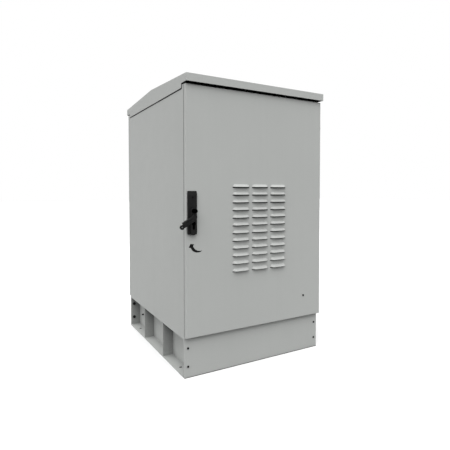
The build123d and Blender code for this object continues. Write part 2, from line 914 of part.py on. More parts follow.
def door_gasket():
    """The rubber gasket on the door's inner lip."""
    outer = half_width - gasket_inset
    inner = outer - gasket_width
    low = door_low + gasket_inset
    high = door_high - gasket_inset
    back = -half_depth - gasket_gap
    ring = block((-outer, outer), (door_back, back), (low, high))
    zs = (low + gasket_width, high - gasket_width)
    return ring - block((-inner, inner), (door_back - overrun, back + overrun), zs)


def door_stiffener():
    """The right door stiffener, a hat section along the door's inner face."""
    crown = door_inside + stiffener_depth
    half = stiffener_width / 2
    rim = half + stiffener_rim
    web = half - stiffener_sheet
    foot = door_inside + stiffener_sheet
    under = crown - stiffener_sheet
    points = [(-rim, door_inside), (-web, door_inside), (-web, under), (web, under), (web, door_inside),
              (rim, door_inside), (rim, foot), (half, foot), (half, crown), (-half, crown), (-half, foot),
              (-rim, foot)]
    places = [(stiffener_x + x, y) for x, y in points]
    return along_z(places, (door_low + stiffener_end_gap, door_high - stiffener_end_gap))


def door_stiffener_right():
    """The right stiffener with the hole of the door's earth screw."""
    crown = door_inside + stiffener_depth
    start = (stiffener_x, crown - stiffener_sheet - overrun, door_screw_z)
    return door_stiffener() - rod(screw_hole, start, (stiffener_x, crown + overrun, door_screw_z))


def door_screw():
    """The earth screw through the door, with its nut on the stiffener."""
    crown = door_inside + stiffener_depth
    grip = crown - door_face + nut_height + screw_end
    screw = cap_screw((stiffener_x, door_face, door_screw_z), (0, -1, 0), grip)
    return [screw, flange_nut((stiffener_x, crown, door_screw_z), (0, 1, 0))]


def filter_limits(margin):
    """Limits of the filter tray in width and height, drawn in by a margin."""
    middle = louver_first_z + (louver_rows - 1) * louver_row_pitch / 2 + louver_height / 2
    half_x = filter_width / 2 - margin
    half_z = filter_height / 2 - margin
    return (louver_centre_x - half_x, louver_centre_x + half_x), (middle - half_z, middle + half_z)


def filter_stud_places():
    """Places of the four studs that hold the filter tray."""
    xs, zs = filter_limits(-filter_rim / 2)
    return [(x, z) for x in xs for z in zs]


def filter_tray():
    """The tray behind the louvers, with a lip round its rear window and a rim for its studs."""
    back = door_inside + filter_depth
    xs, zs = filter_limits(0)
    tray = block(xs, (door_inside, back), zs)
    rim_x, rim_z = filter_limits(-filter_rim)
    tray += block(rim_x, (door_inside, door_inside + filter_sheet), rim_z)
    xs, zs = filter_limits(filter_sheet)
    tray -= block(xs, (door_inside - overrun, back - filter_sheet), zs)
    xs, zs = filter_limits(filter_sheet + filter_lip)
    tray -= block(xs, (door_inside - overrun, back + overrun), zs)
    ends = (door_inside - overrun, door_inside + filter_sheet + overrun)
    cuts = [rod(filter_stud_radius, (x, ends[0], z), (x, ends[1], z)) for x, z in filter_stud_places()]
    return tray - cuts


def filter_mat():
    """The filter mat in its tray."""
    xs, zs = filter_limits(filter_sheet + filter_gap)
    return block(xs, (door_inside, door_inside + filter_depth - filter_sheet), zs)


def filter_studs():
    """Weld studs of the filter tray with their nuts."""
    seat = door_inside + filter_sheet
    end = seat + filter_nut_height + screw_end
    studs = []
    for x, z in filter_stud_places():
        stud = rod(filter_stud_radius, (x, door_inside, z), (x, end, z))
        studs.append(stud + hexagon(filter_nut_width, (x, seat, z), (x, seat + filter_nut_height, z)))
    return studs


# Handle and lock

def lock_profile(margin, front, back):
    """The profile-cylinder outline, a circle over a narrow stem, drawn out in depth."""
    radius = cylinder_radius - margin
    stem = cylinder_stem_width / 2 - margin
    foot = cylinder_z + cylinder_radius - cylinder_height + cylinder_stem_width / 2
    body = rod(radius, (handle_x, front, cylinder_z), (handle_x, back, cylinder_z))
    body += rod(stem, (handle_x, front, foot), (handle_x, back, foot))
    return body + block((handle_x - stem, handle_x + stem), (front, back), (foot, cylinder_z))


def bevelled(face, thickness, bevel):
    """An X-Z outline drawn out to the front, with its front edge bevelled."""
    body = extrude(Plane.XZ * face, thickness)
    return chamfer(body.faces().sort_by(Axis.Y)[0].outer_wire().edges(), bevel)


def handle_housing():
    """The cast handle housing: a bevelled plate with a sloped top, and a long boss for the lock."""
    outline = RectangleRounded(handle_width, handle_high - handle_low, handle_corner)
    plate = bevelled(outline, handle_thickness, handle_bevel)
    plate = Pos(handle_x, door_face, (handle_low + handle_high) / 2) * plate
    front = door_face - handle_thickness
    start = handle_high - handle_slope_length
    rest = door_face - handle_slope_rest
    slope = [(front - overrun, start), (front, start), (rest, handle_high), (rest, handle_high + overrun),
             (front - overrun, handle_high + overrun)]
    plate -= along_x(slope, (handle_x - handle_width, handle_x + handle_width))
    boss_high = button_z + boss_width / 2
    boss = bevelled(SlotOverall(boss_high - boss_low, boss_width, rotation=90), boss_reach, boss_bevel)
    housing = plate + Pos(handle_x, door_face, (boss_low + boss_high) / 2) * boss
    cuts = [lock_profile(0, boss_face - overrun, door_face + overrun)]
    cuts.append(rod(spindle_radius + spindle_fit, (handle_x, boss_face - overrun, lever_z),
                    (handle_x, door_face + overrun, lever_z)))
    bottom = boss_face + button_seat + button_travel
    cuts.append(rod(button_radius + button_fit, (handle_x, boss_face - overrun, button_z),
                    (handle_x, bottom, button_z)))
    sink = front + handle_screw_depth
    cuts.append(rod(screw_head_radius + hole_clearance, (handle_x, front - overrun, handle_screw_z),
                    (handle_x, sink, handle_screw_z)))
    cuts.append(rod(screw_hole, (handle_x, sink - overrun, handle_screw_z),
                    (handle_x, door_face + overrun, handle_screw_z)))
    return housing - cuts


def handle_screw():
    """The screw that holds the housing's upper end, with its nut inside the door."""
    seat = door_face - handle_thickness + handle_screw_depth
    grip = door_inside - seat + nut_height + screw_end
    screw = cap_screw((handle_x, seat, handle_screw_z), (0, -1, 0), grip)
    return [screw, flange_nut((handle_x, door_inside, handle_screw_z), (0, 1, 0))]


def release_button():
    """The sprung button at the top of the boss."""
    button = rod(button_radius, (handle_x, boss_face + button_seat, button_z),
                 (handle_x, boss_face - button_reach, button_z))
    return chamfer(button.faces().sort_by(Axis.Y)[0].edges(), button_bevel)


def lock_cylinder():
    """The profile cylinder, set back in the boss, with the bore of its plug."""
    front = boss_face + cylinder_recess
    body = lock_profile(cylinder_fit, front, front + cylinder_length)
    bore = plug_radius + plug_fit
    end = front + plug_recess + plug_length
    return body - rod(bore, (handle_x, front - overrun, cylinder_z), (handle_x, end, cylinder_z))


def lock_plug():
    """The turning plug with its key slot."""
    front = boss_face + cylinder_recess + plug_recess
    plug = rod(plug_radius, (handle_x, front, cylinder_z), (handle_x, front + plug_length, cylinder_z))
    xs = (handle_x - key_width / 2, handle_x + key_width / 2)
    zs = (cylinder_z - key_height / 2, cylinder_z + key_height / 2)
    return plug - block(xs, (front - overrun, front + key_depth), zs)


def turned(part):
    """A lever piece drawn hanging from the origin, put at its axis and turned to its rest."""
    return Pos(handle_x, 0, lever_z) * Rot(0, lever_rest_turn, 0) * part


def handle_lever():
    """The lever: a hub with a square socket, a grooved bar and beside it a thinner arm with an eye."""
    middle = Pos(0, -lever_bar_length / 2)
    lever = bevelled(Circle(lever_hub_radius), lever_thickness, lever_bevel)
    lever += bevelled(middle * Rectangle(lever_bar_width, lever_bar_length), lever_thickness, lever_bevel)
    run = lever_arm_length - lever_hub_radius
    place = Pos(lever_arm_offset, -lever_hub_radius - run / 2)
    face = place * SlotCenterToCenter(run, lever_arm_width, rotation=90)
    lever += bevelled(face, lever_arm_thickness, lever_bevel)
    eye = Pos(lever_arm_offset, -lever_arm_length) * Circle(lever_eye_rim)
    lever += bevelled(eye, lever_arm_thickness, lever_bevel)
    groove = middle * SlotCenterToCenter(lever_groove_length, lever_groove_width, rotation=90)
    cuts = [extrude(Plane.XZ.offset(lever_thickness - lever_groove_depth) * groove, lever_thickness)]
    front = -lever_thickness - overrun
    cuts.append(rod(lever_eye_radius, (lever_arm_offset, front, -lever_arm_length),
                    (lever_arm_offset, overrun, -lever_arm_length)))
    half = spindle_square / 2
    cuts.append(block((-half, half), (-lever_socket_depth, overrun), (-half, half)))
    return turned(Pos(0, lever_back, 0) * (lever - cuts))


def lever_spindle():
    """The spindle, a round journal with a square at each end for the lever and the crank."""
    half = spindle_square / 2
    spindle = rod(spindle_radius, (0, lever_back, 0), (0, crank_front, 0))
    spindle += block((-half, half), (lever_back - lever_socket_depth, lever_back), (-half, half))
    spindle += block((-half, half), (crank_front, crank_rear), (-half, half))
    return turned(spindle)


def spindle_bush():
    """The bearing bush of the spindle on the door's inner face."""
    bush = rod(bush_radius, (handle_x, door_inside, lever_z), (handle_x, door_inside + bush_length, lever_z))
    bore = rod(spindle_radius + spindle_fit, (handle_x, door_inside - overrun, lever_z),
               (handle_x, door_inside + bush_length + overrun, lever_z))
    return bush - bore


def lock_crank():
    """The crank on the spindle's inner end, with the pin that drives the locking bar."""
    hub = rod(crank_hub_radius, (0, crank_front, 0), (0, crank_rear, 0))
    half = spindle_square / 2
    hub -= block((-half, half), (crank_front - overrun, crank_rear + overrun), (-half, half))
    arm = block((half, crank_radius), (crank_front, crank_rear), (-crank_arm_width / 2, crank_arm_width / 2))
    arm += rod(crank_arm_width / 2, (crank_radius, crank_front, 0), (crank_radius, crank_rear, 0))
    pin = rod(crank_pin_radius, (crank_radius, crank_rear, 0), (crank_radius, bar_rear, 0))
    turn = Rot(0, lever_rest_turn - lever_full_turn / 2, 0)
    arm = Pos(handle_x, 0, lever_z) * turn * (arm + pin)
    bore = turned(block((-half, half), (crank_front - overrun, crank_rear + overrun), (-half, half)))
    return turned(hub) + arm - bore


def lock_bar():
    """The flat locking bar with the cross slot of the crank pin."""
    left = bar_x - bar_width / 2
    right = bar_x + bar_width / 2
    bar = block((left, right), (bar_front, bar_rear), (bar_low, bar_high))
    swing = crank_radius * cos(radians(lever_full_turn / 2))
    near = handle_x + swing - crank_pin_radius - bar_slot_end_clearance
    far = handle_x + crank_radius + crank_pin_radius + bar_slot_end_clearance
    half = crank_pin_radius + bar_slot_clearance
    zs = (slot_z - half, slot_z + half)
    return bar - block((near, far), (bar_front - overrun, bar_rear + overrun), zs)


def keeper_heights():
    """Heights at which the bar's tongues sit when the door is locked."""
    return [keeper_low, keeper_middle, keeper_high]


def bar_tongues():
    """Tongues on the bar's edge, at rest drawn down clear of their keepers."""
    edge = bar_x - bar_width / 2
    tongues = []
    for height in keeper_heights():
        z = height - rest_drop
        zs = (z - tongue_height / 2, z + tongue_height / 2)
        tongues.append(block((edge - tongue_reach, edge), (bar_front, bar_rear), zs))
    return tongues


def lock_keepers():
    """Keeper blocks behind the left flange, which the tongues catch."""
    inside = bar_x - bar_width / 2 - tongue_reach + keeper_overlap
    keepers = []
    for height in keeper_heights():
        low = height + tongue_height / 2 - keeper_bite
        xs = (-half_width + bend_radius, inside)
        keepers.append(block(xs, (-inner_y, bar_front - keeper_gap), (low, low + keeper_height)))
    return keepers


def bar_guides():
    """Moulded guides that carry the bar on the door's inner face."""
    left = bar_x - bar_width / 2 - guide_fit
    right = bar_x + bar_width / 2 + guide_fit
    low = bar_front - guide_fit
    high = bar_rear + guide_fit
    guides = []
    for z in (guide_low, guide_middle, guide_high):
        zs = (z - guide_height / 2, z + guide_height / 2)
        guide = block((left - guide_wall, right + guide_wall), (door_inside, high + guide_rear_wall), zs)
        guide -= block((left, right), (low, high), zs)
        guide -= block((left, right), (door_inside + guide_base, low - guide_rear_wall), zs)
        guides.append(guide)
    return guides


def save(name, piece):
    """Write one node, a single piece or a group of separate solids."""
    solids = piece if isinstance(piece, list) else [piece]
    solids = [solid for item in solids for solid in item.solids()]
    export_step(Compound(children=solids) if len(solids) > 1 else solids[0], f"parts/{name}.step")


def main():
    """Build every node and write it."""
    os.makedirs("parts", exist_ok=True)
    left_rail = rack_rail()
    side = side_panel_drilled()
    front_plate = plinth_plate()
    nodes = {
        "plinth_side_left": plinth_side_left(),
        "plinth_side_right": mirrored(plinth_side()),
        "plinth_end_plates": plinth_end_plates(),
        "plinth_stiffeners": plinth_stiffeners(),
        "plinth_front_plate": front_plate,
        "plinth_rear_plate": mirror(front_plate, about=Plane.XZ),
        "plinth_screws": plinth_screws(),
        "plinth_nuts": plinth_nuts(),
        "earth_stud": earth_stud(),
        "floor_pan": floor_pan(),
        "gland_plate": gland_plate(),
        "gland_screws": gland_screws(),
        "cable_grommets": cable_grommets(),
        "body_bolts": body_bolts(),
        "body_nuts": body_nuts(),
        "side_panel_left": side,
        "side_panel_right": mirrored(side),
        "top_plate": top_plate(),
        "roof_hood": roof_hood(),
        "roof_brackets": roof_brackets(),
        "roof_bolts": roof_bolts(),
        "roof_nuts": roof_nuts(),
        "roof_seals": roof_seals(),
        "vent_screens": vent_screens(),
        "rear_panel": rear_panel(),
        "rear_panel_screws": rear_panel_screws(),
        "rack_rail_left": left_rail,
        "rack_rail_right": mirrored(left_rail),
        "rail_beams": rail_beams(),
        "rail_screws": rail_screws(),
        "lock_keepers": lock_keepers(),
        "hinge_frame_leaves": hinge_frame_leaves(),
        "hinge_pins": hinge_pins(),
        "hinge_washers": hinge_washers(),
        "hinge_door_leaves": hinge_door_leaves(),
        "door_panel": door_panel(),
        "door_gasket": door_gasket(),
        "door_stiffener_left": mirrored(door_stiffener()),
        "door_stiffener_right": door_stiffener_right(),
        "door_screw": door_screw(),
        "filter_tray": filter_tray(),
        "filter_mat": filter_mat(),
        "filter_studs": filter_studs(),
        "handle_housing": handle_housing(),
        "handle_screw": handle_screw(),
        "lock_cylinder": lock_cylinder(),
        "spindle_bush": spindle_bush(),
        "bar_guides": bar_guides(),
        "handle_lever": handle_lever(),
        "lever_spindle": lever_spindle(),
        "lock_crank": lock_crank(),
        "lock_bar": lock_bar(),
        "bar_tongues": bar_tongues(),
        "release_button": release_button(),
        "lock_plug": lock_plug(),
    }
    for name, piece in nodes.items():
        save(name, piece)


main()
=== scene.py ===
import json
import math

import bmesh
import bpy
from bpy.props import FloatProperty, FloatVectorProperty, IntProperty, PointerProperty
from bpy.types import Operator, Panel, PropertyGroup
from mathutils import Matrix, Vector, noise


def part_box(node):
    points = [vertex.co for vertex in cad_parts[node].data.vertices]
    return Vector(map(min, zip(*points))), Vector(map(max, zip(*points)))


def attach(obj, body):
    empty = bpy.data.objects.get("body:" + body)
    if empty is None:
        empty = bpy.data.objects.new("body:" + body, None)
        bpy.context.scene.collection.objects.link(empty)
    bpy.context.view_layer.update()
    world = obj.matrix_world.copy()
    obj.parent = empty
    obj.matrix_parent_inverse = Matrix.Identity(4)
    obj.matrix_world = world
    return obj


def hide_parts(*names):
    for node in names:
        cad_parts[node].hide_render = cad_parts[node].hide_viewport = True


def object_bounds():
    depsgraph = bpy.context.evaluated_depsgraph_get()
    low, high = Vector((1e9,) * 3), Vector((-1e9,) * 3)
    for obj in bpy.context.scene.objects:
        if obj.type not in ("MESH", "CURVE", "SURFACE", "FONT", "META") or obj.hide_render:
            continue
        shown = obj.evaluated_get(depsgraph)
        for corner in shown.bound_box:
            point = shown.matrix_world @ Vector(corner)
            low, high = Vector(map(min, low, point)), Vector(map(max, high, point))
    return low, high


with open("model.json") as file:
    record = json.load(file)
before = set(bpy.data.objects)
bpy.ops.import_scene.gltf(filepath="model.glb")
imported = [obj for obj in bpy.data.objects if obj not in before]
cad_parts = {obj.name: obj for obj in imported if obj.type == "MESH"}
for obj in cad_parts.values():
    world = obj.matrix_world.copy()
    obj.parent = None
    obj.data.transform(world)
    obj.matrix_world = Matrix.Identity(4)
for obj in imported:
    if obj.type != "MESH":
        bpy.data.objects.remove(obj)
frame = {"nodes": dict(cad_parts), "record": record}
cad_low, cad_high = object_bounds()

bl_info = {
    "name": "Roadside Utility Cabinet",
    "version": (1, 0, 0),
    "blender": (4, 5, 0),
    "location": "View3D > Sidebar > Cabinet",
    "description": "Finishes, filter mat, signs, welds and stage of a roadside utility cabinet",
    "category": "Object",
}

door_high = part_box("door_panel")[1]
handle_low, handle_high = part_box("handle_housing")
mat_low, mat_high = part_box("filter_mat")


def colour_prop(name, description, default):
    """A colour that a user may change."""
    return FloatVectorProperty(name=name, description=description, subtype="COLOR", size=3,
                               min=0.0, max=1.0, default=default)


def length_prop(name, description, default):
    """A length in metres that a user may change."""
    return FloatProperty(name=name, description=description, unit="LENGTH", min=0.0, precision=5,
                         default=default)


def factor_prop(name, description, default):
    """A share between nothing and all."""
    return FloatProperty(name=name, description=description, subtype="FACTOR", min=0.0, max=1.0, default=default)


class CABINET_PG_paint(PropertyGroup):
    """Powder coat of the sheets."""
    colour: colour_prop("Paint", "Grey of the powder coat", (0.380, 0.390, 0.380))
    roughness: factor_prop("Roughness", "Roughness of the powder coat", 0.62)
    grain: length_prop("Grain", "Size of the coat's fine grain", 0.0011)
    grain_depth: length_prop("Grain depth", "Depth of the coat's fine grain", 0.00006)
    peel: length_prop("Peel", "Size of the coat's soft waves", 0.006)
    mottle: factor_prop("Mottle", "How far the grey drifts over a sheet", 0.02)
    streak: factor_prop("Streaks", "How much rain has marked the upright sheets", 0.015)
    # Painted shade: how dark the coat is made where other faces stand near, and how near they must stand.
    painted_shade: factor_prop("Soot", "How dark the coat has grown in sheltered places", 0.26)
    shelter: length_prop("Shelter", "How near other faces stand where soot gathers", 0.030)
    # Painted shade in the plinth's open recesses: its depth and reach.
    painted_recess_shade: factor_prop("Road dirt", "How dark the plinth's open recesses have grown", 0.62)
    recess: length_prop("Recess", "Size of the plinth's open recesses", 0.140)


class CABINET_PG_metals(PropertyGroup):
    """Plated and blackened metal."""
    zinc: colour_prop("Zinc", "Colour of the zinc plate", (0.42, 0.43, 0.44))
    zinc_roughness: factor_prop("Zinc roughness", "Roughness of the zinc plate", 0.36)
    spangle: length_prop("Spangle", "Size of the zinc's crystals", 0.006)
    fastener: colour_prop("Fasteners", "Colour of the black screws and nuts", (0.004, 0.004, 0.004))
    cast: colour_prop("Casting", "Colour of the black handle", (0.0075, 0.0075, 0.0075))
    cast_grain: length_prop("Casting grain", "Size of the handle coat's grain", 0.0008)
    # The lock's near-zero black is its own black coat and also painted shade, as dark as the shade in an open
    # keyhole.
    lock: colour_prop("Lock", "Colour of the burnished lock", (0.0003, 0.0003, 0.0003))
    button: colour_prop("Button", "Colour of the release button", (0.0003, 0.0003, 0.0003))


class CABINET_PG_rubber(PropertyGroup):
    """Rubber and moulded plastic."""
    rubber: colour_prop("Rubber", "Colour of seals, gasket and grommets", (0.012, 0.012, 0.012))
    plastic: colour_prop("Plastic", "Colour of screens and bar guides", (0.006, 0.006, 0.006))
    bloom: factor_prop("Bloom", "How far the rubber has greyed", 0.3)


class CABINET_PG_filter(PropertyGroup):
    """Fibre mat behind the louvers."""
    colour: colour_prop("Fleece", "Colour of the fibre mat", (0.045, 0.046, 0.045))
    cell: length_prop("Grid", "Size of the mat's surface grid", 0.0055)
    tuft: length_prop("Tufts", "Depth of the mat's uneven surface", 0.0012)
    crown: length_prop("Crown", "How far the mat thins towards its edges", 0.0030)


class CABINET_PG_sign(PropertyGroup):
    """Turning arrow printed under the handle."""
    colour: colour_prop("Ink", "Colour of the printed arrow", (0.003, 0.003, 0.003))
    lift: length_prop("Lift", "Thickness of the print", 0.0002)
    steps: IntProperty(name="Steps", description="Points along the arrow's curve", min=6, max=64, default=28)


class CABINET_PG_marks(PropertyGroup):
    """Unit numbers printed on the equipment rails."""
    colour: colour_prop("Ink", "Colour of the printed numbers", (0.010, 0.010, 0.012))
    unit: length_prop("Unit", "Height of one equipment unit", 0.04445)
    units: IntProperty(name="Units", description="Number of equipment units on a rail", min=1, max=40,
                       default=20)
    height: length_prop("Height", "Height of the figures", 0.0085)
    tick: length_prop("Tick", "Length of the line between two units", 0.017)
    tick_width: length_prop("Tick width", "Width of the line between two units", 0.0007)
    inset: length_prop("Inset", "How far the figures stand from the rail's folded edge", 0.0125)
    lift: length_prop("Lift", "Thickness of the print", 0.00015)


class CABINET_PG_welds(PropertyGroup):
    """Weld beads at the hinge leaves."""
    radius: length_prop("Radius", "Radius of a bead", 0.0019)
    ripple: length_prop("Ripple", "Length of one ripple along a bead", 0.0024)
    swell: factor_prop("Swell", "How far the ripples swell", 0.16)
    margin: length_prop("Margin", "How far a bead ends from the leaf's corner", 0.0025)
    leaf: length_prop("Leaf", "Height of one hinge leaf", 0.035)
    hinges: IntProperty(name="Hinges", description="Number of hinges", min=2, max=8, default=3)


class CABINET_PG_stage(PropertyGroup):
    """Floor, light and camera."""
    floor: colour_prop("Floor", "Colour of the floor where it is seen", (0.80, 0.80, 0.80))
    floor_bounce: colour_prop("Floor bounce", "Colour of the floor in the light it throws back",
                              (0.06, 0.06, 0.06))
    floor_size: length_prop("Floor size", "Side of the floor", 60.0)
    # Painted shade: colour of the dark sheet under the plinth, and how far it shows before the plinth as a
    # painted contact shadow.
    painted_shadow_pad: colour_prop("Pit", "Colour of the cable pit under the plinth", (0.02, 0.02, 0.02))
    painted_shadow_pad_edge: length_prop("Pit edge", "How far the pit's dark joint shows before the plinth", 0.0045)
    sky: FloatProperty(name="Sky", description="Level of the light from all round", min=0.0, default=1.32)
    lamp_level: FloatProperty(name="Lamp", description="Strength of the distant soft lamp", min=0.0,
                              default=1.95)
    lamp_spread: FloatProperty(name="Lamp spread", description="How wide the soft lamp looks", subtype="ANGLE",
                               default=math.radians(60))
    lamp_place: FloatVectorProperty(name="Lamp place", description="Where the soft lamp hangs",
                                    subtype="TRANSLATION", unit="LENGTH", size=3, default=(-1.8, -2.5, 4.6))
    lens: FloatProperty(name="Lens", description="Focal length in millimetres", min=1.0, default=31.884)
    camera_place: FloatVectorProperty(name="Camera", description="Place of the camera", subtype="TRANSLATION",
                                      unit="LENGTH", size=3, default=(-0.98135, -1.84612, 0.75273))
    camera_turn: FloatProperty(name="Turn", description="Camera's turn to the right", subtype="ANGLE",
                               default=math.radians(29.8726))
    camera_dip: FloatProperty(name="Dip", description="Camera's dip below level", subtype="ANGLE",
                              default=math.radians(1.8415))
    shift: FloatVectorProperty(name="Shift", description="Frame's shift, as a share of its width", size=2,
                               default=(-0.01039, -0.04474))


# Shader building

def new_finish(name, colour, roughness, specular, metallic=0.0):
    """A material with a plain Principled shader, its constants set on the shader itself."""
    finish = bpy.data.materials.new(name)
    finish.use_nodes = True
    shader = finish.node_tree.nodes["Principled BSDF"]
    shader.inputs["Base Color"].default_value = (*colour, 1.0)
    shader.inputs["Roughness"].default_value = roughness
    shader.inputs["Specular IOR Level"].default_value = specular
    shader.inputs["Metallic"].default_value = metallic
    return finish, shader


def place_node(tree, kind, **values):
    """A new node with its plain settings."""
    node = tree.nodes.new(kind)
    for key, value in values.items():
        setattr(node, key, value)
    return node


def object_points(tree, stretch=(1.0, 1.0, 1.0)):
    """Places on the object in metres, stretched along each axis."""
    source = place_node(tree, "ShaderNodeTexCoord")
    mapping = place_node(tree, "ShaderNodeMapping")
    mapping.inputs["Scale"].default_value = stretch
    tree.links.new(source.outputs["Object"], mapping.inputs["Vector"])
    return mapping.outputs["Vector"]


def noise_field(tree, points, size, detail=2.0, roughness=0.5):
    """Soft noise whose patches have about a given size."""
    field = place_node(tree, "ShaderNodeTexNoise")
    field.inputs["Scale"].default_value = 1.0 / size
    field.inputs["Detail"].default_value = detail
    field.inputs["Roughness"].default_value = roughness
    tree.links.new(points, field.inputs["Vector"])
    return field.outputs["Fac"]


def mapped(tree, value, low, high, start=0.25, end=0.75):
    """A value carried from one range to another."""
    node = place_node(tree, "ShaderNodeMapRange", clamp=True)
    node.inputs["From Min"].default_value = start
    node.inputs["From Max"].default_value = end
    node.inputs["To Min"].default_value = low
    node.inputs["To Max"].default_value = high
    tree.links.new(value, node.inputs["Value"])
    return node.outputs["Result"]


def times(tree, first, second):
    """The product of two values."""
    node = place_node(tree, "ShaderNodeMath", operation="MULTIPLY")
    tree.links.new(first, node.inputs[0])
    tree.links.new(second, node.inputs[1])
    return node.outputs["Value"]


def plus(tree, first, second):
    """The sum of two values."""
    node = place_node(tree, "ShaderNodeMath", operation="ADD")
    tree.links.new(first, node.inputs[0])
    tree.links.new(second, node.inputs[1])
    return node.outputs["Value"]


def shade_colour(tree, shader, colour, level):
    """The finish's colour made lighter or darker by a level about one."""
    node = place_node(tree, "ShaderNodeVectorMath", operation="SCALE")
    node.inputs[0].default_value = colour
    tree.links.new(level, node.inputs["Scale"])
    tree.links.new(node.outputs["Vector"], shader.inputs["Base Color"])


def raise_grain(tree, shader, height, depth, strength=1.0):
    """Bump of a given depth."""
    bump = place_node(tree, "ShaderNodeBump")
    bump.inputs["Strength"].default_value = strength
    bump.inputs["Distance"].default_value = depth
    tree.links.new(height, bump.inputs["Height"])
    tree.links.new(bump.outputs["Normal"], shader.inputs["Normal"])


def give(finish, *names):
    """Put a finish on CAD nodes."""
    for name in names:
        mesh = frame["nodes"][name].data
        mesh.materials.clear()
        mesh.materials.append(finish)


def keep(name, mesh, finish, body):
    """Make an object of a mesh, in its place, riding on a body."""
    mesh.materials.append(finish)
    piece = bpy.data.objects.new(name, mesh)
    bpy.context.scene.collection.objects.link(piece)
    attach(piece, body)
    return piece


def nodes_of(slot):
    """CAD nodes that the record gives to a slot."""
    return [part["node"] for part in frame["record"]["subparts"] if part["material_slot"] == slot]


# Finishes

def powder_coat(props, name="powder_coat", shade=None, painted_shade_setting=None):
    """Fine-textured grey powder coat with a slow drift of tone and faint upright rain marks, with painted shade
    in sheltered places and, unless turned off, painted light on faces that look up.
    """
    sheen = 0.30
    drift_size = 0.45
    streak_width = 0.03
    streak_stretch = 0.06
    fleck_share = 0.015
    gloss_size = 0.05
    gloss_share = 0.05
    finish, shader = new_finish(name, props.colour, props.roughness, sheen)
    tree = finish.node_tree
    points = object_points(tree)
    upright = object_points(tree, (1.0, 1.0, streak_stretch))
    drift = mapped(tree, noise_field(tree, points, drift_size, 3.0), 1.0 - props.mottle, 1.0 + props.mottle)
    marks = noise_field(tree, upright, streak_width, 4.0, 0.6)
    rain = mapped(tree, marks, 1.0, 1.0 - props.streak, 0.45, 0.75)
    fleck = mapped(tree, noise_field(tree, points, props.grain, 1.0), 1.0 - fleck_share, 1.0 + fleck_share)
    # Painted shade in sheltered places and painted light on upward faces, multiplied into the coat's colour.
    painted_shade = painted_shade_level(tree, *(painted_shade_setting or (props.painted_shade, props.shelter)))
    level = times(tree, times(tree, drift, rain), times(tree, fleck, painted_shade))
    # A shade function adds painted shade of its own, inside the hood or along the door's seam.
    if shade:
        level = times(tree, level, shade(tree))
    shade_colour(tree, shader, props.colour, level)
    gloss = mapped(tree, noise_field(tree, points, gloss_size, 3.0), props.roughness - gloss_share,
                   props.roughness + gloss_share)
    tree.links.new(gloss, shader.inputs["Roughness"])
    height = plus(tree, noise_field(tree, points, props.grain, 2.0), noise_field(tree, points, props.peel, 1.0))
    raise_grain(tree, shader, height, props.grain_depth)
    return finish


def painted_shade_level(tree, depth, reach, rain=True):
    """Painted shade under ledges and in recesses where other faces stand near, and painted light that makes open
    faces that look up slightly lighter.
    """
    # The rain flag bends the painted shade's look towards the sky and adds the painted light on upward faces.
    skyward = 0.8 if rain else 0.0
    closed, clear = 0.25, 0.82
    upright, sloping = 0.2, 0.6
    top_light_tone = 1.05
    surface = place_node(tree, "ShaderNodeNewGeometry")
    lean = place_node(tree, "ShaderNodeVectorMath", operation="ADD")
    lean.inputs[1].default_value = (0.0, 0.0, skyward)
    tree.links.new(surface.outputs["Normal"], lean.inputs[0])
    upward = place_node(tree, "ShaderNodeVectorMath", operation="NORMALIZE")
    tree.links.new(lean.outputs["Vector"], upward.inputs[0])
    # Painted shade: darker the nearer other faces stand.
    near = place_node(tree, "ShaderNodeAmbientOcclusion", samples=8)
    near.inputs["Distance"].default_value = reach
    tree.links.new(upward.outputs["Vector"], near.inputs["Normal"])
    sheltered = mapped(tree, near.outputs["AO"], 1.0 - depth, 1.0, closed, clear)
    if not rain:
        return sheltered
    # Painted light: faces that look up are kept out of the painted shade and made up to five hundredths lighter.
    parts = place_node(tree, "ShaderNodeSeparateXYZ")
    tree.links.new(surface.outputs["Normal"], parts.inputs["Vector"])
    top_light = mapped(tree, parts.outputs["Z"], 0.0, top_light_tone, upright, sloping)
    shade_and_top_light = place_node(tree, "ShaderNodeMath", operation="MAXIMUM")
    tree.links.new(sheltered, shade_and_top_light.inputs[0])
    tree.links.new(top_light, shade_and_top_light.inputs[1])
    return shade_and_top_light.outputs["Value"]


def painted_seam_shade(tree):
    """Painted shade: dark along the rear edge of the door's rim, where shade falls in the seam."""
    seam_shade = 0.35
    start, end = 0.0032, 0.0020
    parts = place_node(tree, "ShaderNodeSeparateXYZ")
    tree.links.new(object_points(tree), parts.inputs["Vector"])
    return mapped(tree, parts.outputs["Y"], 1.0, seam_shade, door_high.y - start, door_high.y - end)


def painted_hood_shade(tree):
    """Painted shade: nearly black where the hood's sheet faces inwards, in place of the shade inside the hood.
    """
    inner_shade = 0.03
    half_sheet = 0.00075
    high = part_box("roof_hood")[1]
    verts = frame["nodes"]["roof_hood"].data.vertices
    eave = max(vert.co.z for vert in verts if vert.co.y > high.y - half_sheet / 4)
    parts = place_node(tree, "ShaderNodeSeparateXYZ")
    tree.links.new(object_points(tree), parts.inputs["Vector"])
    depth = place_node(tree, "ShaderNodeMath", operation="ABSOLUTE")
    tree.links.new(parts.outputs["Y"], depth.inputs[0])
    width = place_node(tree, "ShaderNodeMath", operation="ABSOLUTE")
    tree.links.new(parts.outputs["X"], width.inputs[0])
    height = place_node(tree, "ShaderNodeMath", operation="MULTIPLY_ADD")
    height.inputs[1].default_value = (high.z - eave) / high.y
    tree.links.new(depth.outputs["Value"], height.inputs[0])
    tree.links.new(parts.outputs["Z"], height.inputs[2])
    inside = None
    for value, limit in ((width, high.x), (depth, high.y), (height, high.z)):
        test = place_node(tree, "ShaderNodeMath", operation="LESS_THAN")
        test.inputs[1].default_value = limit - half_sheet
        tree.links.new(value.outputs["Value"], test.inputs[0])
        inside = times(tree, inside, test.outputs["Value"]) if inside else test.outputs["Value"]
    return mapped(tree, inside, 1.0, inner_shade, 0.0, 1.0)


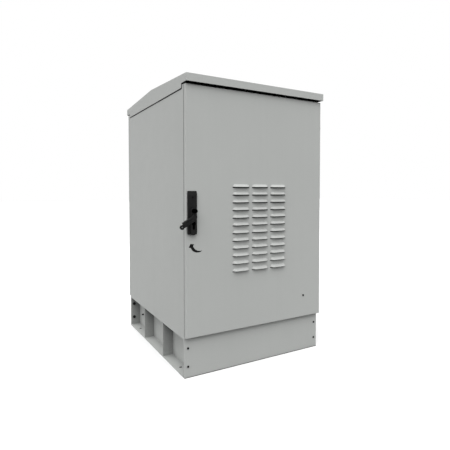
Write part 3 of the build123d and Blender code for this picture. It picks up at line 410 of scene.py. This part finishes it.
def zinc_plate(props):
    """Bright zinc plate with a faint spangle and fine rolling marks."""
    finish, shader = new_finish("zinc_plate", props.zinc, props.zinc_roughness, 0.5, 1.0)
    tree = finish.node_tree
    points = object_points(tree)
    cells = place_node(tree, "ShaderNodeTexVoronoi", feature="F1")
    cells.inputs["Scale"].default_value = 1.0 / props.spangle
    tree.links.new(points, cells.inputs["Vector"])
    tone = place_node(tree, "ShaderNodeSeparateColor")
    tree.links.new(cells.outputs["Color"], tone.inputs["Color"])
    spangle = mapped(tree, tone.outputs["Red"], 0.90, 1.06, 0.0, 1.0)
    cloud = mapped(tree, noise_field(tree, points, 0.06, 4.0), 0.93, 1.04)
    shade_colour(tree, shader, props.zinc, times(tree, spangle, cloud))
    rub = noise_field(tree, object_points(tree, (0.05, 1.0, 1.0)), 0.0007, 2.0)
    gloss = mapped(tree, plus(tree, tone.outputs["Green"], rub), props.zinc_roughness - 0.08,
                   props.zinc_roughness + 0.12, 0.3, 1.6)
    tree.links.new(gloss, shader.inputs["Roughness"])
    raise_grain(tree, shader, rub, 0.00002)
    return finish


def grained_black(name, colour, roughness, specular, grain, depth, drift=0.25):
    """A black finish with a moulded or cast grain and a slight drift of tone."""
    finish, shader = new_finish(name, colour, roughness, specular)
    tree = finish.node_tree
    points = object_points(tree)
    fine = noise_field(tree, points, grain, 2.0)
    tone = times(tree, mapped(tree, noise_field(tree, points, 0.02, 3.0), 1.0 - drift, 1.0 + drift),
                 mapped(tree, fine, 0.9, 1.1))
    shade_colour(tree, shader, colour, tone)
    gloss = mapped(tree, noise_field(tree, points, 0.008, 3.0), roughness - 0.06, roughness + 0.06)
    tree.links.new(gloss, shader.inputs["Roughness"])
    raise_grain(tree, shader, fine, depth)
    return finish


def dull_rubber(props):
    """Matt rubber that has greyed in patches."""
    finish, shader = new_finish("dull_rubber", props.rubber, 0.82, 0.2)
    tree = finish.node_tree
    points = object_points(tree)
    bloom = mapped(tree, noise_field(tree, points, 0.03, 4.0, 0.6), 1.0 - props.bloom, 1.0 + 2.0 * props.bloom)
    shade_colour(tree, shader, props.rubber, bloom)
    raise_grain(tree, shader, noise_field(tree, points, 0.0012, 3.0), 0.00008)
    return finish


def fibre_fleece(props):
    """Fibre fleece: crossing strands in the tone and in the bump, with a little sheen."""
    finish, shader = new_finish("fibre_fleece", props.colour, 0.95, 0.1)
    shader.inputs["Sheen Weight"].default_value = 0.25
    shader.inputs["Sheen Roughness"].default_value = 0.6
    tree = finish.node_tree
    along = noise_field(tree, object_points(tree, (0.08, 1.0, 1.0)), 0.0009, 3.0, 0.7)
    across = noise_field(tree, object_points(tree, (1.0, 1.0, 0.1)), 0.0010, 3.0, 0.7)
    strands = times(tree, along, across)
    clumps = mapped(tree, noise_field(tree, object_points(tree), 0.012, 4.0), 0.82, 1.06)
    shade_colour(tree, shader, props.colour, times(tree, mapped(tree, strands, 0.72, 1.12, 0.12, 0.42), clumps))
    raise_grain(tree, shader, strands, 0.0006)
    return finish


# Pieces

class CABINET_OT_sheets(Operator):
    """Coat the folded sheets of the plinth, body, hood and door"""
    bl_idname = "cabinet.sheets"
    bl_label = "Powder-coated sheets"

    def execute(self, context):
        props = context.scene.cabinet_paint
        give(powder_coat(props), *nodes_of("painted_grey"))
        # Painted shade: the hood's inner faces are made nearly black.
        give(powder_coat(props, "hood_coat_inner_shade", painted_hood_shade), "roof_hood")
        # Painted shade along the door's seam.
        give(powder_coat(props, "door_coat_seam_shade", painted_seam_shade), "door_panel")
        # Painted shade: the gusset and end plates are darkened deep in their recesses, and the side channels
        # less, with no painted light on their upward faces.
        deep = (props.painted_recess_shade, props.recess)
        give(powder_coat(props, "recess_coat_painted_shade", painted_shade_setting=deep), "plinth_stiffeners", "plinth_end_plates")
        shade_share, reach_share = 0.6, 0.35
        open_painted_shade = (props.painted_recess_shade * shade_share, props.recess * reach_share, False)
        give(powder_coat(props, "channel_coat_painted_shade", painted_shade_setting=open_painted_shade), "plinth_side_left", "plinth_side_right")
        return {"FINISHED"}


class CABINET_OT_zinc(Operator):
    """Plate the rails, brackets, bolts and the lock's inner parts"""
    bl_idname = "cabinet.zinc"
    bl_label = "Zinc-plated parts"

    def execute(self, context):
        give(zinc_plate(context.scene.cabinet_metals), *nodes_of("zinc_steel"))
        return {"FINISHED"}


class CABINET_OT_black_metal(Operator):
    """Blacken the handle, lock, button and outer fasteners"""
    bl_idname = "cabinet.black_metal"
    bl_label = "Black handle and fasteners"

    def execute(self, context):
        props = context.scene.cabinet_metals
        casting = grained_black("black_casting", props.cast, roughness=0.55, specular=0.10,
                                grain=props.cast_grain, depth=0.00005)
        fastener = grained_black("black_fastener", props.fastener, roughness=0.50, specular=0.12,
                                 grain=0.0006, depth=0.00002)
        screw = grained_black("dull_screw", props.cast, roughness=0.7, specular=0.04,
                              grain=0.0006, depth=0.00002)
        # Painted shade: the lock is made near-black to read as the shade in an open keyhole, besides its black
        # coat.
        lock = grained_black("lock_keyhole_shade_black", props.lock, roughness=0.45, specular=0.004,
                             grain=0.0005, depth=0.00001)
        cap = grained_black("button_cap", props.button, roughness=0.60, specular=0.004,
                            grain=0.0006, depth=0.00002)
        give(casting, *nodes_of("black_cast"))
        give(fastener, *nodes_of("black_steel"))
        give(screw, "handle_screw")
        give(lock, *nodes_of("black_lock"))
        give(cap, "release_button")
        return {"FINISHED"}


class CABINET_OT_rubber(Operator):
    """Finish the seals, gasket, grommets, screens and guides"""
    bl_idname = "cabinet.rubber"
    bl_label = "Rubber and plastic"

    def execute(self, context):
        props = context.scene.cabinet_rubber
        give(dull_rubber(props), *nodes_of("black_rubber"))
        plastic = grained_black("moulded_plastic", props.plastic, roughness=0.6, specular=0.12,
                                grain=0.0007, depth=0.00004)
        give(plastic, *nodes_of("black_plastic"))
        return {"FINISHED"}


def box_grid(low, high, cell):
    """A closed box whose faces are divided into cells."""
    counts = [max(2, round((high[axis] - low[axis]) / cell)) for axis in range(3)]
    grid = bmesh.new()
    made = {}

    def corner(index):
        if index not in made:
            place = [low[axis] + (high[axis] - low[axis]) * index[axis] / counts[axis] for axis in range(3)]
            made[index] = grid.verts.new(place)
        return made[index]

    for axis in range(3):
        first, second = [other for other in range(3) if other != axis]
        for end in (0, counts[axis]):
            for i in range(counts[first]):
                for j in range(counts[second]):
                    ring = []
                    for di, dj in ((0, 0), (1, 0), (1, 1), (0, 1)):
                        index = [0, 0, 0]
                        index[axis] = end
                        index[first] = i + di
                        index[second] = j + dj
                        ring.append(corner(tuple(index)))
                    grid.faces.new(ring)
    bmesh.ops.recalc_face_normals(grid, faces=grid.faces)
    return grid


class CABINET_OT_filter(Operator):
    """Build the fibre mat that lies in the tray behind the louvers"""
    bl_idname = "cabinet.filter"
    bl_label = "Filter mat"

    def execute(self, context):
        props = context.scene.cabinet_filter
        mat = box_grid(mat_low, mat_high, props.cell)
        middle = (mat_low + mat_high) / 2
        half = (mat_high - mat_low) / 2
        for vert in mat.verts:
            side = 1.0 if vert.co.y > middle.y else -1.0
            share = abs(vert.co.y - middle.y) / half.y
            edge = min(half.x - abs(vert.co.x - middle.x), half.z - abs(vert.co.z - middle.z))
            thin = props.crown * max(0.0, 1.0 - edge / 0.03) ** 2
            rough = noise.fractal(vert.co * 55.0, 0.9, 2.0, 4)
            tuft = props.tuft * (0.5 + 0.5 * max(-1.0, min(1.0, rough)))
            vert.co.y -= side * share * (thin + tuft)
            wave = 0.0008 * (1.0 + noise.noise(vert.co * 30.0))
            if abs(abs(vert.co.x - middle.x) - half.x) < 1e-6:
                vert.co.x -= math.copysign(wave, vert.co.x - middle.x)
            if abs(abs(vert.co.z - middle.z) - half.z) < 1e-6:
                vert.co.z -= math.copysign(wave, vert.co.z - middle.z)
        mesh = bpy.data.meshes.new("filter_fleece_mat")
        mat.to_mesh(mesh)
        mat.free()
        mesh.shade_smooth()
        piece = keep("filter_fleece_mat", mesh, fibre_fleece(props), "door")
        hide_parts("filter_mat")
        return {"FINISHED"}


def arrow_outline(steps):
    """Outline of the turning arrow on the door, as offsets in millimetres from the handle's lower middle."""
    outer = [(-4.9, -54.7), (1.6, -65.8), (13.3, -72.7), (26.5, -74.7), (38.4, -72.6), (44.5, -67.0)]
    inner = [(43.0, -67.6), (38.4, -69.0), (26.5, -67.7), (16.2, -62.9), (8.9, -55.7), (4.6, -47.4)]
    head = [(9.7, -41.0), (-6.3, -38.4), (-14.3, -52.7)]
    edge = smooth_run(outer, steps) + smooth_run(inner, steps)
    return edge + head


def smooth_run(points, steps):
    """Points along a smooth line through the given points."""
    spots = [Vector(point) for point in points]
    spots = [2 * spots[0] - spots[1]] + spots + [2 * spots[-1] - spots[-2]]
    run = []
    for index in range(1, len(spots) - 2):
        a, b, c, d = spots[index - 1:index + 3]
        for step in range(steps):
            t = step / steps
            run.append(0.5 * (2 * b + (c - a) * t + (2 * a - 5 * b + 4 * c - d) * t * t
                              + (3 * b - a - 3 * c + d) * t * t * t))
    return run + [spots[-2]]


class CABINET_OT_sign(Operator):
    """Print the turning arrow under the handle"""
    bl_idname = "cabinet.sign"
    bl_label = "Turning arrow"

    def execute(self, context):
        props = context.scene.cabinet_sign
        middle = (handle_low.x + handle_high.x) / 2
        face = door_face_y()
        print_mesh = bmesh.new()
        ring = []
        for x, z in arrow_outline(max(2, props.steps // 6)):
            place = (middle + x / 1000, face - props.lift, handle_low.z + 0.002 + z / 1000)
            ring.append(print_mesh.verts.new(place))
        plate = print_mesh.faces.new(ring)
        edge = bmesh.ops.extrude_face_region(print_mesh, geom=[plate])
        for item in edge["geom"]:
            if isinstance(item, bmesh.types.BMVert):
                item.co.y = face
        bmesh.ops.recalc_face_normals(print_mesh, faces=print_mesh.faces)
        bmesh.ops.triangulate(print_mesh, faces=print_mesh.faces)
        mesh = bpy.data.meshes.new("turning_arrow")
        print_mesh.to_mesh(mesh)
        print_mesh.free()
        ink = grained_black("sign_ink", props.colour, roughness=0.6, specular=0.08, grain=0.0004, depth=0.00001)
        keep("turning_arrow", mesh, ink, "door")
        return {"FINISHED"}


def door_face_y():
    """The door's flat outer face, behind the louvers' reach."""
    mesh = frame["nodes"]["door_panel"].data
    faces = {}
    for polygon in mesh.polygons:
        if polygon.normal.y < -0.999:
            depth = round(polygon.center.y, 5)
            faces[depth] = faces.get(depth, 0.0) + polygon.area
    if not faces:
        raise RuntimeError("the door has no flat outer face")
    return max(faces, key=faces.get)


def figure_mesh(words, height, thickness):
    """A thin closed mesh of a number, centred and lying flat."""
    letter_share = 1.4
    curve = bpy.data.curves.new("figure", "FONT")
    curve.body = words
    curve.size = height * letter_share
    curve.extrude = thickness / 2
    curve.resolution_u = 3
    curve.align_x = "CENTER"
    curve.align_y = "CENTER"
    holder = bpy.data.objects.new("figure", curve)
    mesh = bpy.data.meshes.new_from_object(holder)
    bpy.data.objects.remove(holder)
    bpy.data.curves.remove(curve)
    return mesh


class CABINET_OT_marks(Operator):
    """Print the unit numbers and their lines on both equipment rails"""
    bl_idname = "cabinet.marks"
    bl_label = "Rail unit numbers"

    def execute(self, context):
        props = context.scene.cabinet_marks
        ink = grained_black("rail_ink", props.colour, roughness=0.6, specular=0.1, grain=0.0005, depth=0.00001)
        for name, side in (("rack_rail_left", 1.0), ("rack_rail_right", -1.0)):
            low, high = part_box(name)
            edge = low.x if side > 0 else high.x
            start = (low.z + high.z - props.units * props.unit) / 2
            sheet = bmesh.new()
            for index in range(props.units):
                middle = start + (index + 0.5) * props.unit
                figure = figure_mesh(str(index + 1), props.height, props.lift)
                place = Matrix.Translation((edge + side * props.inset, low.y - props.lift / 2, middle))
                figure.transform(place @ Matrix.Rotation(math.pi / 2, 4, "X"))
                sheet.from_mesh(figure)
                bpy.data.meshes.remove(figure)
            for index in range(props.units + 1):
                centre = (edge + side * props.inset, low.y - props.lift / 2, start + index * props.unit)
                size = Matrix.Diagonal((props.tick, props.lift, props.tick_width, 1.0))
                bmesh.ops.create_cube(sheet, size=1.0, matrix=Matrix.Translation(centre) @ size)
            mesh = bpy.data.meshes.new("unit_marks_" + name[10:])
            sheet.to_mesh(mesh)
            sheet.free()
            keep("unit_marks_" + name[10:], mesh, ink, "cabinet")
        return {"FINISHED"}


def weld_bead(sheet, start, end, props, seed):
    """A rippled closed bead between two points."""
    spokes = 10
    ripple_steps = 4
    end_taper = 0.35
    run = end - start
    steps = max(6, round(run.length / props.ripple * ripple_steps))
    turn = run.to_track_quat("Z", "Y").to_matrix()
    rings = []
    for step in range(steps + 1):
        share = step / steps
        ripple = math.sin(share * run.length / props.ripple * 2 * math.pi)
        wander = noise.noise(Vector((seed, share * 9.0, 0.5)))
        taper = min(1.0, end_taper + 4.0 * min(share, 1.0 - share))
        radius = props.radius * taper * (1.0 + props.swell * (0.6 * ripple + 0.8 * wander))
        middle = start + run * share
        ring = []
        for spoke in range(spokes):
            angle = spoke / spokes * 2 * math.pi
            spot = turn @ Vector((math.cos(angle), math.sin(angle), 0.0))
            ring.append(sheet.verts.new(middle + spot * radius))
        rings.append(ring)
    for first, second in zip(rings, rings[1:]):
        for spoke in range(spokes):
            after = (spoke + 1) % spokes
            sheet.faces.new((first[spoke], first[after], second[after], second[spoke]))
    sheet.faces.new(reversed(rings[0]))
    sheet.faces.new(rings[-1])


class CABINET_OT_welds(Operator):
    """Lay the weld beads round the hinge leaves"""
    bl_idname = "cabinet.welds"
    bl_label = "Hinge welds"

    def execute(self, context):
        props = context.scene.cabinet_welds
        coat = bpy.data.materials["powder_coat"]
        proud = 0.0006
        clear = 0.012
        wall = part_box("side_panel_right")[1].x + proud
        for name, body, far in (("hinge_frame_leaves", "cabinet", True), ("hinge_door_leaves", "door", False)):
            low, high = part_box(name)
            edge = high.y if far else low.y
            knuckle = low.y + clear if far else high.y - clear
            pitch = (high.z - low.z - props.leaf) / (props.hinges - 1)
            sheet = bmesh.new()
            for index in range(props.hinges):
                foot = low.z + index * pitch
                head = foot + props.leaf if far else high.z - (props.hinges - 1 - index) * pitch
                outer = foot if far else head
                first = Vector((wall, edge, foot + props.margin))
                weld_bead(sheet, first, Vector((wall, edge, head - props.margin)), props, index)
                first = Vector((wall, edge, outer))
                weld_bead(sheet, first, Vector((wall, knuckle, outer)), props, index + 7)
            bmesh.ops.recalc_face_normals(sheet, faces=sheet.faces)
            mesh = bpy.data.meshes.new(name + "_weld")
            sheet.to_mesh(mesh)
            sheet.free()
            mesh.shade_smooth()
            keep(name + "_weld", mesh, coat, body)
        return {"FINISHED"}


class CABINET_OT_stage(Operator):
    """Set the floor, light and camera"""
    bl_idname = "cabinet.stage"
    bl_label = "Stage"

    def execute(self, context):
        props = context.scene.cabinet_stage
        scene = context.scene
        scene.view_settings.view_transform = "Standard"
        self.lay_floor(props)
        self.lay_painted_shadow_pad(props)
        self.light_sky(props)
        self.hang_lamp(props)
        camera = bpy.data.cameras.new("photo_camera")
        camera.lens = props.lens
        camera.sensor_width = 36.0
        camera.shift_x, camera.shift_y = props.shift
        camera.clip_end = 200.0
        holder = bpy.data.objects.new("photo_camera", camera)
        scene.collection.objects.link(holder)
        holder.location = props.camera_place
        holder.rotation_euler = (math.pi / 2 - props.camera_dip, 0.0, -props.camera_turn)
        scene.camera = holder
        return {"FINISHED"}

    def seen_directly(self, tree):
        """One where a ray from the camera, a reflection or glass looks."""
        path = place_node(tree, "ShaderNodeLightPath")
        near = place_node(tree, "ShaderNodeMath", operation="MAXIMUM")
        tree.links.new(path.outputs["Is Camera Ray"], near.inputs[0])
        tree.links.new(path.outputs["Is Glossy Ray"], near.inputs[1])
        both = place_node(tree, "ShaderNodeMath", operation="MAXIMUM")
        tree.links.new(near.outputs["Value"], both.inputs[0])
        tree.links.new(path.outputs["Is Transmission Ray"], both.inputs[1])
        return both.outputs["Value"]

    def lay_floor(self, props):
        """A wide pale floor that keeps the cabinet's shadow."""
        sheet = bmesh.new()
        bmesh.ops.create_grid(sheet, x_segments=8, y_segments=8, size=props.floor_size / 2)
        mesh = bpy.data.meshes.new("floor")
        sheet.to_mesh(mesh)
        sheet.free()
        floor = bpy.data.objects.new("floor", mesh)
        bpy.context.scene.collection.objects.link(floor)
        floor.location.z = cad_low.z - 0.0005
        finish, shader = new_finish("pale_floor", props.floor, 0.9, 0.0)
        tree = finish.node_tree
        level = place_node(tree, "ShaderNodeMapRange", data_type="FLOAT_VECTOR")
        vector_in, to_low, to_high = 6, 9, 10
        level.inputs[to_low].default_value = props.floor_bounce
        level.inputs[to_high].default_value = props.floor
        tree.links.new(self.seen_directly(tree), level.inputs[vector_in])
        tree.links.new(level.outputs["Vector"], shader.inputs["Base Color"])
        mesh.materials.append(finish)

    def lay_painted_shadow_pad(self, props):
        """A dark sheet under the plinth: painted shade seen through the anchor holes, and a thin painted shadow
        along the foot of the plinth's front.
        """
        low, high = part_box("plinth_front_plate")
        sheet = bmesh.new()
        front = low.y - props.painted_shadow_pad_edge
        for x, y in ((low.x, front), (high.x, front), (high.x, -low.y), (low.x, -low.y)):
            sheet.verts.new((x, y, cad_low.z - 0.0002))
        sheet.faces.new(sheet.verts)
        mesh = bpy.data.meshes.new("painted_shadow_pad")
        sheet.to_mesh(mesh)
        sheet.free()
        painted_shadow_pad = bpy.data.objects.new("painted_shadow_pad", mesh)
        bpy.context.scene.collection.objects.link(painted_shadow_pad)
        mesh.materials.append(new_finish("dark_painted_shadow_pad", props.painted_shadow_pad, 0.9, 0.0)[0])

    def light_sky(self, props):
        """Even light from all round, seen as plain white."""
        world = bpy.data.worlds.new("studio")
        world.use_nodes = True
        tree = world.node_tree
        back = tree.nodes["Background"]
        back.inputs["Color"].default_value = (1.0, 1.0, 1.0, 1.0)
        level = place_node(tree, "ShaderNodeMapRange")
        level.inputs["To Min"].default_value = props.sky
        level.inputs["To Max"].default_value = 1.0
        tree.links.new(self.seen_directly(tree), level.inputs["Value"])
        tree.links.new(level.outputs["Result"], back.inputs["Strength"])
        bpy.context.scene.world = world

    def hang_lamp(self, props):
        """One large soft lamp high over the front left corner."""
        lamp = bpy.data.lights.new("soft_box", "SUN")
        lamp.angle = props.lamp_spread
        lamp.energy = props.lamp_level
        holder = bpy.data.objects.new("soft_box", lamp)
        bpy.context.scene.collection.objects.link(holder)
        place = Vector(props.lamp_place)
        holder.location = place
        holder.rotation_euler = ((cad_low + cad_high) / 2 - place).to_track_quat("-Z", "Y").to_euler()


class CABINET_PT_panel(Panel):
    """Lists the cabinet's pieces and their sizes"""
    bl_idname = "CABINET_PT_panel"
    bl_label = "Roadside Utility Cabinet"
    bl_space_type = "VIEW_3D"
    bl_region_type = "UI"
    bl_category = "Cabinet"

    def draw(self, context):
        layout = self.layout
        for operator in OPERATORS:
            layout.operator(operator.bl_idname)
        for name, group in GROUPS.items():
            box = layout.box()
            box.label(text=group.__doc__)
            props = getattr(context.scene, name)
            for key in group.__annotations__:
                box.prop(props, key)


GROUPS = {
    "cabinet_paint": CABINET_PG_paint,
    "cabinet_metals": CABINET_PG_metals,
    "cabinet_rubber": CABINET_PG_rubber,
    "cabinet_filter": CABINET_PG_filter,
    "cabinet_sign": CABINET_PG_sign,
    "cabinet_marks": CABINET_PG_marks,
    "cabinet_welds": CABINET_PG_welds,
    "cabinet_stage": CABINET_PG_stage,
}
OPERATORS = (
    CABINET_OT_sheets,
    CABINET_OT_zinc,
    CABINET_OT_black_metal,
    CABINET_OT_rubber,
    CABINET_OT_filter,
    CABINET_OT_sign,
    CABINET_OT_marks,
    CABINET_OT_welds,
    CABINET_OT_stage,
)


def register():
    """Register the classes and hang their sizes on the scene."""
    for group in GROUPS.values():
        bpy.utils.register_class(group)
    for operator in OPERATORS:
        bpy.utils.register_class(operator)
    bpy.utils.register_class(CABINET_PT_panel)
    for name, group in GROUPS.items():
        setattr(bpy.types.Scene, name, PointerProperty(type=group))


def unregister():
    """Take the sizes and classes away again."""
    for name in GROUPS:
        delattr(bpy.types.Scene, name)
    bpy.utils.unregister_class(CABINET_PT_panel)
    for operator in reversed(OPERATORS):
        bpy.utils.unregister_class(operator)
    for group in reversed(GROUPS.values()):
        bpy.utils.unregister_class(group)


def main():
    """Build every piece."""
    register()
    bpy.ops.cabinet.sheets()
    bpy.ops.cabinet.zinc()
    bpy.ops.cabinet.black_metal()
    bpy.ops.cabinet.rubber()
    bpy.ops.cabinet.filter()
    bpy.ops.cabinet.sign()
    bpy.ops.cabinet.marks()
    bpy.ops.cabinet.welds()
    bpy.ops.cabinet.stage()


if __name__ == "__main__":
    main()
